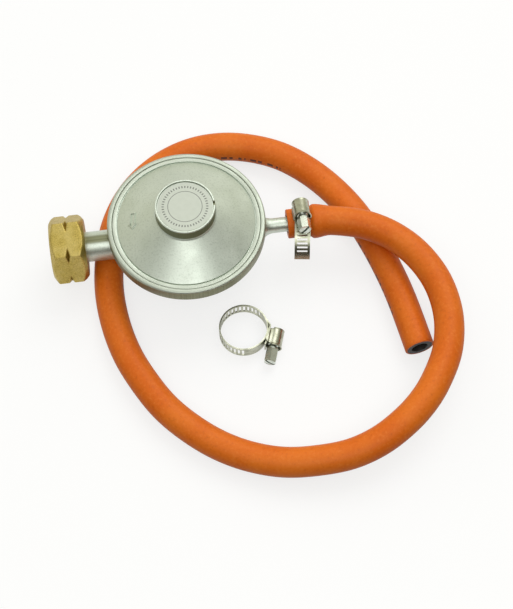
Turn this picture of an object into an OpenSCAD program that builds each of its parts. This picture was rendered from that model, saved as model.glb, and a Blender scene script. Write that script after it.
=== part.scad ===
// Low-pressure propane regulator with a left-hand bottle nut, a barbed outlet, a cut length of
// hose, the worm-drive clamp that holds it and a spare clamp. Millimetres, +Z up.
// The origin is the centre of the flat foot under the regulator, and gas flows along +X.

/* [Regulator body] */
// Height of the gas axis above the foot
axis_height = 23; // [23:0.5:30]
// Outside diameter of the rolled rim
disc_d = 77; // [72:1:93]
// Height of the rim's side wall
rim_height = 7.4; // [6.5:0.1:9]
// Rise from the gas axis to the top of the rim
rim_rise = 14.2; // [13.5:0.1:17]
// Thickness of the bowl's wall
body_wall = 2.2; // [1.8:0.1:2.7]
// Diameter of the flat foot
foot_d = 38; // [32:1:46]
// Thickness of the rim's side wall outside the cover
rim_wall = 1.4; // [1.1:0.1:1.7]
// Thickness of the lip rolled over the cover's flange
lip_t = 1.2; // [1:0.1:1.4]
// Width of the rolled lip, seen from above
lip_w = 2.4; // [2:0.1:2.9]
// Radial gap between a turning or sliding piece and what it runs in
run_gap = 0.05; // [0.02:0.01:0.1]

/* [Top cover] */
// Thickness of the cover
cover_t = 1.8; // [1.5:0.1:2.2]
// Width of the raised bead inside the rolled lip
bead_w = 2; // [1.7:0.1:2.4]
// Step down from the bead to the cone
bead_step = 0.6; // [0.4:0.1:0.8]
// Rise of the cone from the bead to the boss
cone_rise = 10; // [8.5:0.5:12]
// Outside diameter of the boss
boss_d = 29; // [25:1:35]
// Height of the boss above the cone
boss_h = 6.9; // [6:0.1:8.3]
// Wall of the boss around the adjuster's thread
boss_wall = 3; // [2.5:0.1:3.6]
// Width of the boss's top edge around the label
label_edge = 1; // [0.8:0.1:1.2]
// Depth of the ledge that holds the cap
cap_depth = 2; // [1.8:0.1:2.4]
// Thickness of the cap
cap_t = 1.2; // [1:0.1:1.4]
// Thickness of the label
label_t = 0.2; // [0.1:0.05:0.3]

/* [Inlet nut] */
// Size across the flats
nut_af = 30; // [29:1:36]
// Length of the nut
nut_len = 17; // [15:0.5:20.5]
// Diameter at the crests of the internal thread
thread_d = 20; // [19:0.2:21]
// Depth of the thread and of the relief behind it
thread_depth = 0.9; // [0.7:0.1:1.1]
// Angle that the nut is turned to
nut_turn = 41; // [0:1:60]
// Thickness of the nut's back wall
nut_back = 3; // [2.5:0.1:3.6]
// Gap between the nut's back face and the rim
nut_stand = 11.4; // [10.5:0.1:13.7]
// Depth of the left-hand thread marks at the corners
mark_depth = 3; // [2:0.1:3.5]
// Width of the marks at the corners
mark_w = 3.2; // [2.5:0.1:3.8]

/* [Inlet connection] */
// Outside diameter of the neck
neck_d = 14.8; // [13.5:0.1:16]
// Outside diameter of the nipple's collar
collar_d = 18.4; // [17:0.1:18.6]
// Thickness of the collar
collar_t = 2.2; // [1.8:0.1:2.6]
// Diameter of the nipple's shank and nose
nipple_d = 11; // [9.5:0.1:11.4]
// Length of the shank in the neck
shank_len = 9; // [7.5:0.1:11]
// Gas bore through the nipple
nipple_bore = 6; // [5:0.1:6.6]
// Thickness of the sealing ring
seal_t = 1.6; // [1.3:0.1:1.9]
// How far the nose stands past the collar
nose_len = 2; // [1.9:0.1:2.4]

/* [Outlet nozzle] */
// Diameter of the nozzle between its barbs
nozzle_d = 7.4; // [6.8:0.1:7.8]
// Diameter over the barbs
barb_d = 8.8; // [8.4:0.1:9.2]
// Length of the nozzle inside the hose
nozzle_len = 21; // [17.5:0.5:23]
// Gas bore through the nozzle
nozzle_bore = 5; // [4.2:0.1:5.6]
// Gap between the rim and the hose's end
nozzle_stand = 11; // [9:0.5:13]

/* [Hose] */
// Outside diameter
hose_d = 14.5; // [12.5:0.1:14.5]
// Bore
hose_bore = 8; // [6.8:0.1:9.4]
// Length of the straight cut end
free_end_len = 27; // [22.5:0.5:27]

/* [Hose clamps] */
// Width of the band
band_w = 7.5; // [6.3:0.1:9]
// Thickness of the band
band_t = 0.6; // [0.5:0.05:0.7]
// Inside diameter of the spare clamp's ring
spare_d = 23; // [19.2:0.2:27.6]
// Diameter of the worm thread
worm_d = 5.4; // [4.5:0.1:6.4]
// Length of the housing
housing_len = 8; // [6.5:0.5:9.5]
// Outside diameter of the housing's barrel
barrel_d = 8.2; // [7.8:0.1:9.8]
// Size of the screw head across its flats
head_af = 5.5; // [4.6:0.1:6.6]
// Length of the screw head
head_len = 7.4; // [6:0.1:8.9]
// Distance between the band's slots
slot_pitch = 2; // [1.7:0.1:2.4]

/* [Valve train] */
// Distance from the diaphragm's post to the lever's pin
lever_reach = 11.5; // [10:0.5:13]
// Height from the lever's pin to its tip in the valve slide
lever_rise = 4.5; // [4:0.1:5]
// Diameter of the lever's pin
pin_d = 2; // [1.7:0.1:2.4]
// Diameter of the sliding valve
slide_d = 6; // [5.2:0.1:6.4]
// Diameter of the gas hole in the jet
jet_hole = 1.6; // [1.3:0.1:2]
// Opening between the jet and the pad
valve_gap = 1.05; // [1:0.05:1.25]
// Thickness of the diaphragm
diaphragm_t = 0.8; // [0.7:0.1:1]
// Drop of the fold round the diaphragm
fold_drop = 2.1; // [1.6:0.1:2.4]
// Diameter of the pressure plate
plate_d = 44; // [37:1:48]
// Mean diameter of the main spring
spring_d = 18; // [15:0.5:19]
// Wire diameter of the main spring
wire_d = 1.6; // [1.3:0.1:1.9]
// Turns of the main spring
spring_turns = 5; // [4:1:6]

/* [Hidden] */
$fn = 96;
eps = 0.01;

// Heights of the body and cover
disc_r = disc_d / 2;
rim_top = axis_height + rim_rise;
rim_low = rim_top - rim_height;
flange_r = disc_r - rim_wall;
flange_top = rim_top - lip_t;
flange_low = flange_top - cover_t;
seat_z = flange_low - diaphragm_t;
bead_r = disc_r - lip_w - 0.1;
cone_r = bead_r - bead_w;
cone_low = rim_top - 0.2 - bead_step;
boss_r = boss_d / 2;
boss_low = cone_low + cone_rise;
boss_top = boss_low + boss_h;
adjuster_r = boss_r - boss_wall;
cap_r = boss_r - label_edge;
ledge_z = boss_top - cap_depth;

// Bowl: a gently rounded cone turned about Z, from the foot to the rim
foot_r = foot_d / 2;
bowl_r = disc_r - 2;
bowl_steps = 8;
bowl_bulge = 0.8;
inner_r = flange_r - 3.9;
floor_z = body_wall;

// Places along the gas axis
nut_rear = -(disc_r + nut_stand);
nut_front = nut_rear - nut_len;
neck_r = neck_d / 2;
neck_end = nut_rear - nut_back - 0.2;
collar_front = neck_end - collar_t;
nose_front = collar_front - nose_len;
nipple_r = nipple_d / 2;
filter_t = 2.5;
filter_r = nipple_bore / 2 + 1;
hose_start = disc_r + nozzle_stand;
nozzle_tip = hose_start + nozzle_len;

// Valve train, laid out from the post on the Z axis
pin_x = -lever_reach;
tip_z = axis_height - 1;
pin_z = tip_z - lever_rise;
slide_r = slide_d / 2;
slide_notch = 1.25;
tip_r = 0.9;
block_end = -7.4;
block_start = -20;
jet_tip = pin_x - 6.5;
pad_t = 1.4;
pad_r = slide_r - 0.6;
slide_front = jet_tip + valve_gap;
slide_end = -6.5;
jet_r = 3.4;
arm_t = 1.6;
arm_w = 3;
post_r = 3;
post_low = pin_z - 3.2;

// Diaphragm and what is fixed to it
plate_r = plate_d / 2;
plate_t = 0.8;
stud_r = 2;
washer_r = 9;
dia_top = seat_z + diaphragm_t;
fold_r = (plate_r + 2 + inner_r - 0.8) / 2;
fold_half = (inner_r - 0.8 - plate_r - 2) / 2;
post_nut_h = 2.6;
spring_low = dia_top + plate_t;
adjuster_t = 3;
adjuster_low = ledge_z - 1 - adjuster_t;

// Clamps: ring axis along Z, housing towards +X, screw head towards -Y
hose_r = hose_d / 2;
grip_r = hose_r + 0.05;
worm_r = worm_d / 2;
barrel_r = barrel_d / 2;
housing_w = band_w + 1.3;
head_r = head_af / sqrt(3);
screw_off = 1.4;
worm_gap = 0.08;
tail_bend = 18;
tail_straight = screw_off + 0.6;
tail_mouth = asin((screw_off + housing_len / 2 - tail_straight) / tail_bend);
clamp_x = hose_start + 7;
clamp_turn = 12;
clamp_tail = 76;
tail_skew = -8;
spare_tail = 16;
spare_x = 22;
spare_y = -46;
spare_turn = -18;
spare_z = housing_w / 2;

// Route of the hose's centre line, from the nozzle to the cut end
straight_end = [101.5, -41, 7.5];
end_turn = -81;
end_dir = [cos(end_turn), sin(end_turn), 0];
floor_run = 7.5;
hose_route = [
    [hose_start, 0, axis_height], [hose_start + 12, 0, axis_height],
    [hose_start + 23, 0, axis_height],
    [87, -3, 23], [101, -11, 23], [112.5, -23.5, 22.5], [119.5, -40, 22],
    [121.5, -58.5, 21.5], [118, -76.5, 21], [110, -92, 20.5], [101.5, -102, 19.5],
    [91, -109.5, 18], [78, -116, 16], [63.5, -119.5, 13.5], [47.5, -120, 11.5],
    [31.5, -118, 9.5], [16, -112.5, 8], [2, -104.5, floor_run],
    [-10.5, -94, floor_run], [-21, -82, floor_run], [-29.5, -67.5, floor_run],
    [-36, -52.5, floor_run], [-40, -36, floor_run], [-41.5, -18.5, floor_run],
    [-40, -1, floor_run], [-36, 16, floor_run], [-28.5, 31, floor_run],
    [-18, 43, floor_run], [-5.5, 51.5, floor_run], [8.5, 56.5, floor_run],
    [23.5, 57.5, floor_run], [38.5, 54.5, floor_run], [53, 48, floor_run],
    [66, 37.5, floor_run], [77, 24.5, floor_run], [86, 9.5, floor_run],
    [92.5, -7, floor_run], [97.5, -23.5, floor_run], straight_end,
    straight_end + free_end_len * end_dir];
hose_sides = 12;
free_bore = free_end_len - 2;

// Turns a shape made along Z so that it lies along +X, at the height of the gas axis
module along_x(x) {
    translate([x, 0, axis_height]) rotate([0, 90, 0]) children();
}

// A tube between two places on the gas axis
module gas_tube(x0, x1, outer, inner) {
    along_x(x0) difference() {
        cylinder(r = outer, h = x1 - x0);
        translate([0, 0, -1]) cylinder(r = inner, h = x1 - x0 + 2);
    }
}

function bowl_line(low_r, top_r, low_z, top_z) = [
    for (i = [0 : bowl_steps])
        let (t = pow(i / bowl_steps, 1.5))
        [low_r + (top_r - low_r) * pow(t, bowl_bulge), low_z + (top_z - low_z) * t]
];

function reversed(list) = [for (i = [len(list) - 1 : -1 : 0]) list[i]];

// Bowl with its rim: the seat for the diaphragm, the side wall and the lip rolled inwards
module bowl() {
    outer = bowl_line(foot_r, bowl_r, 0, rim_low);
    inner = bowl_line(foot_r - 1, inner_r, floor_z, seat_z);
    edge = 0.8;
    rotate_extrude() polygon(concat(
        [[0, 0]], outer,
        [[disc_r - edge, rim_low], [disc_r, rim_low + edge], [disc_r, rim_top - edge],
            [disc_r - edge, rim_top], [disc_r - lip_w, rim_top], [disc_r - lip_w, flange_top],
            [flange_r, flange_top], [flange_r, seat_z]],
        reversed(inner), [[0, floor_z]]));
}

// Nozzle turned about the gas axis: a flared root, a plain stretch and three barbs
module nozzle() {
    root = bowl_r - 5;
    flare = 2.6;
    barbs = 3;
    barb_len = 5;
    r = nozzle_d / 2;
    first = nozzle_tip - barbs * barb_len;
    along_x(0) rotate_extrude() polygon(concat(
        [[0, root], [r + flare, root], [r + flare, disc_r - 0.8]],
        [for (a = [0 : 15 : 90]) [r + flare * (1 - sin(a)), disc_r - 0.8 + flare * (1 - cos(a))]],
        [for (i = [0 : barbs - 1], p = [0 : 1])
            [p == 0 ? r : barb_d / 2, first + i * barb_len + p * 0.8]],
        [[r - 0.7, nozzle_tip], [0, nozzle_tip]]));
}

// Cast block on the bowl's floor that guides the valve slide and carries the lever's pin
module valve_block() {
    translate([block_start, -5, floor_z - 1])
        cube([block_end - block_start, 10, axis_height + slide_r + 2 - floor_z + 1]);
}

module valve_block_cuts() {
    slot_w = arm_w + 1.2;
    along_x(block_start - eps)
        cylinder(r = slide_r + run_gap, h = block_end - block_start + 1);
    translate([pin_x - 3.2, -slot_w / 2, pin_z - 3])
        cube([block_end - pin_x + 4, slot_w, axis_height - pin_z + 3]);
    translate([pin_x, 0, pin_z]) rotate([90, 0, 0])
        cylinder(d = pin_d, h = 20, center = true);
    // Gas leaves sideways, beside the jet's tip
    translate([jet_tip, 0, axis_height]) rotate([90, 0, 0])
        cylinder(r = 1.5, h = 20, center = true);
}

module lower_body() {
    color("#b9c0ba") difference() {
        union() {
            bowl();
            along_x(neck_end) cylinder(r = neck_r, h = block_start - neck_end + eps);
            valve_block();
            nozzle();
        }
        valve_block_cuts();
        along_x(neck_end - 1) cylinder(r = nipple_r, h = shank_len + 1);
        along_x(neck_end) cylinder(r = jet_r, h = block_start - neck_end);
        along_x(bowl_r - 12) cylinder(d = nozzle_bore, h = nozzle_tip);
    }
}

// Outline of the raised arrow, with its tail at the origin and its point along -Y
module arrow(grow) {
    len = 8;
    half = 1 + grow;
    head = 2.2 + grow;
    polygon([[-half, grow], [half, grow], [half, 3 - len - grow], [head, 3 - len - grow],
        [0, -len - 1.5 * grow], [-head, 3 - len - grow], [-half, 3 - len - grow]]);
}

module cover_cone(lift, low) {
    rotate_extrude() polygon([[0, low], [cone_r, low], [cone_r, cone_low + lift],
        [boss_r, boss_low + lift], [0, boss_low + lift]]);
}

// Cover turned about Z: flange, bead, cone and boss, with the arrow raised on the cone
module top_cover() {
    under = flange_low - eps;
    round_r = 0.5;
    color("#b9c0ba") difference() {
        union() {
            rotate_extrude() polygon([[0, flange_low], [flange_r - 0.1, flange_low],
                [flange_r - 0.1, flange_top], [bead_r, flange_top], [bead_r, rim_top - 0.6],
                [bead_r - 0.4, rim_top - 0.2], [cone_r + 0.3, rim_top - 0.2],
                [cone_r, rim_top - 0.5], [cone_r, cone_low], [boss_r + 0.8, boss_low - 0.4],
                [boss_r, boss_low + 0.4], [boss_r, boss_top - round_r],
                [boss_r - round_r, boss_top], [0, boss_top]]);
            intersection() {
                cover_cone(0.35, cone_low - 1);
                translate([-24.3, 6.5, 0]) rotate([0, 0, -10]) linear_extrude(height = boss_top)
                    difference() {
                        arrow(0);
                        arrow(-0.5);
                    }
            }
        }
        rotate_extrude() polygon([[0, under], [inner_r, under], [inner_r, flange_low + 0.4],
            [adjuster_r + 2, boss_low - cover_t - 0.6], [0, boss_low - cover_t - 0.6]]);
        translate([0, 0, under]) cylinder(r = adjuster_r, h = boss_top);
        translate([0, 0, ledge_z]) cylinder(r = cap_r, h = boss_top);
        // Breather notch through the boss's top edge
        translate([cap_r - 1, -0.9, ledge_z]) cube([boss_wall, 1.8, boss_top]);
    }
}

module boss_cap() {
    color("#c8ccc8") translate([0, 0, ledge_z]) cylinder(r = cap_r - 0.1, h = cap_t);
}

module rating_disc() {
    color("#f2f3ef") translate([0, 0, ledge_z + cap_t]) cylinder(r = cap_r - 0.4, h = label_t);
}

// Threaded plug that loads the spring, with a key slot and a hole for the breather
module spring_adjuster() {
    color("#c9b87a") difference() {
        translate([0, 0, adjuster_low]) cylinder(r = adjuster_r - run_gap, h = adjuster_t);
        translate([0, 0, adjuster_low - 1]) cylinder(r = 2.5, h = adjuster_t + 2);
        translate([-8, -1, adjuster_low + adjuster_t - 1.2]) cube([16, 2, 2]);
    }
}

// One polyhedron swept along a list of places, each with the two directions of its ring
function ring_points(p, u, v, r, sides) =
    [for (k = [0 : sides - 1]) let (a = 360 * k / sides) p + r * (cos(a) * u + sin(a) * v)];

function side_faces(rings, sides, first, flip) = [
    for (i = [0 : rings - 2], k = [0 : sides - 1])
        let (a = first + i * sides + k, b = first + i * sides + (k + 1) % sides,
            quad = [a, b, b + sides, a + sides])
        flip ? quad : reversed(quad)
];

module main_spring() {
    sides = 8;
    per_turn = 20;
    steps = spring_turns * per_turn;
    wire_r = wire_d / 2;
    low = spring_low + wire_r;
    rise = adjuster_low - wire_r - low;
    points = [for (i = [0 : steps])
        let (a = 360 * i / per_turn, out = [cos(a), sin(a), 0])
        each ring_points(out * spring_d / 2 + [0, 0, low + rise * i / steps], out, [0, 0, 1],
            wire_r, sides)];
    faces = concat(side_faces(steps + 1, sides, 0, false),
        [[for (k = [0 : sides - 1]) k],
            [for (k = [sides - 1 : -1 : 0]) steps * sides + k]]);
    color("#9aa0a6") polyhedron(points = points, faces = faces);
}

// Rubber disc with one round fold between the plate and the clamped edge
module diaphragm() {
    function fold(r, z, drop) = [for (t = [180 : -20 : 0])
        [fold_r + r * cos(t), z - drop * sin(t)]];
    color("#2b2b2b") rotate_extrude() polygon(concat(
        [[stud_r, seat_z]],
        fold(fold_half + diaphragm_t / 2, seat_z, fold_drop + diaphragm_t / 4),
        [[flange_r - 0.1, seat_z], [flange_r - 0.1, dia_top]],
        reversed(fold(fold_half - diaphragm_t / 2, dia_top, fold_drop - diaphragm_t / 4)),
        [[stud_r, dia_top]]));
}

// Pressed plate above the diaphragm, with a ring that centres the spring
module diaphragm_plate() {
    seat_r = (spring_d - wire_d) / 2 - 0.3;
    color("#a9adb0") translate([0, 0, dia_top]) difference() {
        union() {
            cylinder(r = plate_r, h = plate_t);
            cylinder(r = seat_r, h = plate_t + 1);
        }
        translate([0, 0, -1]) cylinder(r = stud_r, h = 5);
        translate([0, 0, plate_t]) cylinder(r = seat_r - 1, h = 5);
    }
}

module diaphragm_washer() {
    color("#a9adb0") translate([0, 0, seat_z - 0.8]) difference() {
        cylinder(r = washer_r, h = 0.8);
        translate([0, 0, -1]) cylinder(r = stud_r, h = 3);
    }
}

// Post under the diaphragm, with the window that the lever's end passes through
module diaphragm_post() {
    shoulder = seat_z - 0.8;
    window = 3.6;
    color("#c9b87a") difference() {
        union() {
            translate([0, 0, post_low]) cylinder(r = post_r, h = shoulder - post_low);
            translate([0, 0, shoulder - 1]) cylinder(r = post_r + 1, h = 1);
            translate([0, 0, post_low]) cylinder(r = stud_r, h = spring_low + 3.4 - post_low);
        }
        translate([-10, -arm_w / 2 - 0.2, pin_z - window / 2])
            cube([20, arm_w + 0.4, window]);
    }
}

module post_nut() {
    color("#b7bbbe") translate([0, 0, spring_low]) difference() {
        cylinder(r = 7 / sqrt(3), h = post_nut_h, $fn = 6);
        translate([0, 0, -1]) cylinder(r = stud_r, h = 5);
    }
}

// Bell crank: one arm to the post, the other up into the valve slide
module lever() {
    hub_r = pin_d / 2 + 1.2;
    color("#a9adb0") difference() {
        union() {
            translate([pin_x, 0, pin_z]) rotate([90, 0, 0])
                cylinder(r = hub_r, h = arm_w + 0.8, center = true);
            translate([pin_x, -arm_w / 2, pin_z - arm_t / 2])
                cube([lever_reach + 2.2, arm_w, arm_t]);
            translate([pin_x - 0.6, -arm_w / 2, pin_z]) cube([1.2, arm_w, lever_rise]);
            translate([pin_x, 0, tip_z]) rotate([90, 0, 0])
                cylinder(r = tip_r, h = arm_w, center = true);
        }
        translate([pin_x, 0, pin_z]) rotate([90, 0, 0])
            cylinder(r = pin_d / 2 + run_gap, h = 20, center = true);
    }
}

module lever_pin() {
    color("#c5c9cc") translate([pin_x, 0, pin_z]) rotate([90, 0, 0])
        cylinder(d = pin_d, h = 9.6, center = true);
}

// Round slide with a notch for the lever's tip and a pocket for the pad
module valve_slide() {
    color("#c9b87a") difference() {
        along_x(slide_front + 0.3) cylinder(r = slide_r, h = slide_end - slide_front - 0.3);
        along_x(slide_front - 1) cylinder(r = pad_r, h = pad_t + 1);
        translate([pin_x - slide_notch, -5, axis_height - slide_r - 1])
            cube([2 * slide_notch, 10, tip_z + tip_r + 0.4 - axis_height + slide_r + 1]);
    }
}

module valve_pad() {
    color("#30302e") along_x(slide_front) cylinder(r = pad_r, h = pad_t);
}

// Jet in the inner end of the neck: a round body and a short tip with the gas hole
module orifice_jet() {
    back = block_start - 6;
    color("#c8a850") difference() {
        union() {
            along_x(back) cylinder(r = jet_r, h = block_start - back);
            along_x(block_start) cylinder(r1 = 2.4, r2 = 1.6, h = jet_tip - block_start);
        }
        along_x(back - 1) cylinder(d = jet_hole, h = 20);
        along_x(back - 1) cylinder(r = 2, h = 4);
    }
}

// Nipple in the neck: its collar holds the nut on, its nose carries the sealing ring
module inlet_nipple() {
    color("#c8a850") difference() {
        union() {
            along_x(nose_front) cylinder(r = nipple_r, h = neck_end + shank_len - nose_front);
            along_x(collar_front) cylinder(d = collar_d, h = collar_t);
        }
        along_x(nose_front - 1) cylinder(d = nipple_bore, h = 30);
        along_x(nose_front - 1) cylinder(r = filter_r, h = filter_t + 1.5);
    }
}

module inlet_seal() {
    color("#30302e") gas_tube(collar_front - seal_t, collar_front, collar_d / 2 - 0.4, nipple_r);
}

module inlet_filter() {
    color("#b08c4a") along_x(nose_front + 0.5) cylinder(r = filter_r, h = filter_t);
}

// Notch across one corner, at the middle of the nut's length
module corner_mark() {
    corner = nut_af / sqrt(3);
    translate([0, corner, 0]) rotate([90, 0, 90]) linear_extrude(height = nut_af, center = true)
        polygon([[-mark_depth, 0], [mark_depth, mark_w], [mark_depth, -mark_w]]);
}

// Hexagon nut with turned chamfers, corner marks, a thread and a relief behind it
module inlet_nut() {
    corner = nut_af / sqrt(3);
    front_r = nut_af / 2 - 1.3;
    rear_r = nut_af / 2 + 0.2;
    front_slope = 0.95;
    rear_slope = 1.1;
    thread_r = thread_d / 2;
    relief_r = thread_r + thread_depth;
    relief_start = nose_front - nut_front - 0.2;
    color("#b89a45") along_x(nut_front) difference() {
        intersection() {
            rotate([0, 0, nut_turn]) cylinder(r = corner, h = nut_len, $fn = 6);
            rotate_extrude() polygon([[0, 0], [front_r, 0],
                [corner + 1, (corner + 1 - front_r) * front_slope],
                [corner + 1, nut_len - (corner + 1 - rear_r) * rear_slope],
                [rear_r, nut_len], [0, nut_len]]);
        }
        for (k = [0 : 5]) rotate([0, 0, nut_turn + 60 * k - 90]) translate([0, 0, nut_len / 2])
            corner_mark();
        translate([0, 0, -1]) cylinder(r = thread_r, h = nut_len - nut_back + 1);
        translate([0, 0, relief_start])
            cylinder(r = relief_r, h = nut_len - nut_back - relief_start);
        translate([0, 0, -eps]) cylinder(r1 = relief_r, r2 = thread_r, h = thread_depth);
        cylinder(r = neck_r + run_gap, h = nut_len + 1);
    }
}

// Directions of the hose at each route point, and the two sides of each ring
function unit(v) = v / norm(v);
function hose_step(i) = unit(hose_route[i + 1] - hose_route[i]);
function hose_dir(i) = unit(
    hose_step(min(i, len(hose_route) - 2)) + hose_step(max(i - 1, 0)));

// Hose as a tube through the route, with a true bore in each end
module hose() {
    count = len(hose_route);
    wall_rings = [for (r = [hose_r, hose_bore / 2 - 0.1])
        for (i = [0 : count - 1])
            let (d = hose_dir(i), side = unit(cross(d, [0, 0, 1])), up = cross(side, d))
            each ring_points(hose_route[i], side, up, r, hose_sides)];
    inner = count * hose_sides;
    last = (count - 1) * hose_sides;
    ends = [for (k = [0 : hose_sides - 1]) let (n = (k + 1) % hose_sides)
        each [[k, inner + k, inner + n, n],
            [last + n, last + inner + n, last + inner + k, last + k]]];
    color("#e0691f") difference() {
        polyhedron(points = wall_rings, faces = concat(
            side_faces(count, hose_sides, 0, true),
            side_faces(count, hose_sides, inner, false), ends));
        along_x(hose_start - 1) cylinder(d = hose_bore, h = nozzle_len + 2);
        translate(straight_end + (free_end_len + 1) * end_dir)
            rotate([0, -90, end_turn]) cylinder(d = hose_bore, h = free_bore + 1);
    }
}

// Row of slots across the band, cut along its length
module slot_cut() {
    cube([4 * band_t, slot_pitch * 0.5, band_w * 0.68], center = true);
}

// Points on the tail's bend, from its start to an angle
function bend_line(r, turn) =
    let (steps = ceil(turn / 3))
    [for (i = [0 : steps]) [r * cos(turn * i / steps), -r * sin(turn * i / steps)]];

// Place on the tail after an angle of its bend: flat as far as the housing's mouth, then skewed
module on_tail(x, angle, flat_turn, skew) {
    past = max(0, angle - flat_turn);
    translate([x, -tail_straight, 0]) rotate([0, 0, past - angle])
        translate([tail_bend, 0, 0]) rotate([past > 0 ? skew : 0, 0, 0])
            translate([-tail_bend, 0, 0]) rotate([0, 0, -past]) children();
}

// Band in its own frame: the ring, the stretch through the housing and the bent tail
module band(ring_r, tail_turn, skew) {
    outer = ring_r + band_t;
    tail_x = outer + 0.2;
    bend_x = tail_x + band_t - tail_bend;
    flat_turn = skew == 0 ? tail_turn : tail_mouth;
    lift_turn = 42;
    lift_r = ring_r + band_t / 2;
    lift = [lift_r * cos(lift_turn), lift_r * sin(lift_turn)];
    lift_dir = [sin(lift_turn), -cos(lift_turn)];
    lift_len = (tail_x + band_t / 2 - lift[0]) / lift_dir[0];
    lift_end = lift + lift_len * lift_dir;
    lift_n = [cos(lift_turn), sin(lift_turn)] * band_t / 2;
    flat_top = tail_straight + lift_end[1] + 0.1;
    joint_turn = 2.5;
    joint_step = 0.015;
    ring_slots = floor(PI * ring_r * 1.3 / slot_pitch);
    tail_slots = floor(tail_bend * tail_turn * PI / 180 / slot_pitch) - 1;
    difference() {
        union() {
            difference() {
                cylinder(r = outer, h = band_w, center = true);
                cylinder(r = ring_r, h = band_w + 1, center = true);
            }
            linear_extrude(height = band_w, center = true)
                polygon([lift - lift_n, lift + lift_n, lift_end + lift_n, lift_end - lift_n]);
            translate([bend_x, -tail_straight, 0]) linear_extrude(height = band_w, center = true)
                polygon(concat([[tail_bend, flat_top]], bend_line(tail_bend, flat_turn),
                    reversed(bend_line(tail_bend - band_t, flat_turn)),
                    [[tail_bend - band_t, flat_top]]));
            // The skewed stretch starts inside the flat one and is thinner by two joint steps
            if (tail_turn > flat_turn) on_tail(bend_x, tail_turn, flat_turn, skew)
                rotate_extrude(angle = tail_turn - flat_turn + joint_turn)
                    translate([tail_bend - band_t + joint_step, -band_w / 2])
                        square([band_t - 2 * joint_step, band_w]);
        }
        for (i = [0 : ring_slots - 1])
            rotate([0, 0, 60 + i * slot_pitch / ring_r * 180 / PI])
                translate([ring_r + band_t / 2, 0, 0]) slot_cut();
        if (tail_slots > 0) for (i = [0 : tail_slots - 1])
            on_tail(bend_x, (i + 0.7) * slot_pitch / tail_bend * 180 / PI, flat_turn, skew)
                translate([tail_bend - band_t / 2, 0, 0]) slot_cut();
    }
}

function screw_x(ring_r) = ring_r + 2 * band_t + 0.35 + worm_r;

// Pressed housing: a barrel over the worm and two cheeks beside the band
module housing(ring_r) {
    x = screw_x(ring_r);
    cheek_low = ring_r + band_t * 0.4;
    color("#c9cdca") difference() {
        translate([0, -screw_off, 0]) union() {
            translate([x, 0, 0]) rotate([90, 0, 0])
                cylinder(r = barrel_r, h = housing_len, center = true);
            translate([cheek_low, -housing_len * 0.4, -housing_w / 2])
                cube([x - cheek_low, housing_len * 0.8, housing_w]);
        }
        translate([x, 0, 0]) rotate([90, 0, 0])
            cylinder(r = worm_r + worm_gap, h = 40, center = true);
        translate([0, -20, -band_w / 2 - 0.1]) cube([ring_r + 2 * band_t + 0.3, 40, band_w + 0.2]);
        translate([ring_r + 2 * band_t + 0.2, -20, -worm_r]) cube([worm_r, 40, worm_d]);
        cylinder(r = ring_r + band_t + 0.02, h = 40, center = true);
    }
}

// Worm screw: threaded stretch, round neck and a slotted hexagon head
module worm_screw(ring_r) {
    x = screw_x(ring_r);
    top = -screw_off - housing_len / 2;
    turns = floor((housing_len - 1.4) / slot_pitch);
    core = worm_r - 0.7;
    color("#dfe3dc") translate([x, top, 0]) rotate([90, 0, 0]) difference() {
        union() {
            rotate_extrude() polygon(concat(
                [[0, -housing_len + 0.4]],
                [for (i = [0 : turns - 1], p = [0 : 3])
                    [p == 0 || p == 3 ? core : worm_r,
                        -housing_len + 0.7 + (i + [0.1, 0.4, 0.6, 0.9][p]) * slot_pitch]],
                [[core, 0.5], [head_af / 2, 0.5], [head_af / 2, 1.2], [0, 1.2]]));
            intersection() {
                translate([0, 0, 1]) rotate([0, 0, 30])
                    cylinder(r = head_r, h = head_len, $fn = 6);
                translate([0, 0, 1]) cylinder(r1 = head_r + 1, r2 = head_af / 2, h = head_len);
            }
        }
        translate([-head_af, -0.5, head_len]) cube([2 * head_af, 1, 2]);
    }
}

module on_hose() {
    translate([clamp_x, 0, axis_height]) rotate([-clamp_turn, 0, 0]) rotate([0, -90, 0])
        children();
}

module on_floor() {
    translate([spare_x, spare_y, spare_z]) rotate([0, 0, spare_turn]) children();
}

module clamp_band() {
    color("#c9cdca") on_hose() band(grip_r, clamp_tail, tail_skew);
}

module clamp_housing() {
    on_hose() housing(grip_r);
}

module clamp_screw() {
    on_hose() worm_screw(grip_r);
}

module spare_clamp_band() {
    color("#c9cdca") on_floor() band(spare_d / 2, spare_tail, 0);
}

module spare_clamp_housing() {
    on_floor() housing(spare_d / 2);
}

module spare_clamp_screw() {
    on_floor() worm_screw(spare_d / 2);
}

lower_body();
top_cover();
boss_cap();
rating_disc();
spring_adjuster();
main_spring();
diaphragm();
diaphragm_plate();
diaphragm_washer();
diaphragm_post();
post_nut();
lever();
lever_pin();
valve_slide();
valve_pad();
orifice_jet();
inlet_nipple();
inlet_seal();
inlet_filter();
inlet_nut();
hose();
clamp_band();
clamp_housing();
clamp_screw();
spare_clamp_band();
spare_clamp_housing();
spare_clamp_screw();
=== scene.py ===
import bmesh
import bpy
import math
from mathutils import Matrix, Vector


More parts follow.
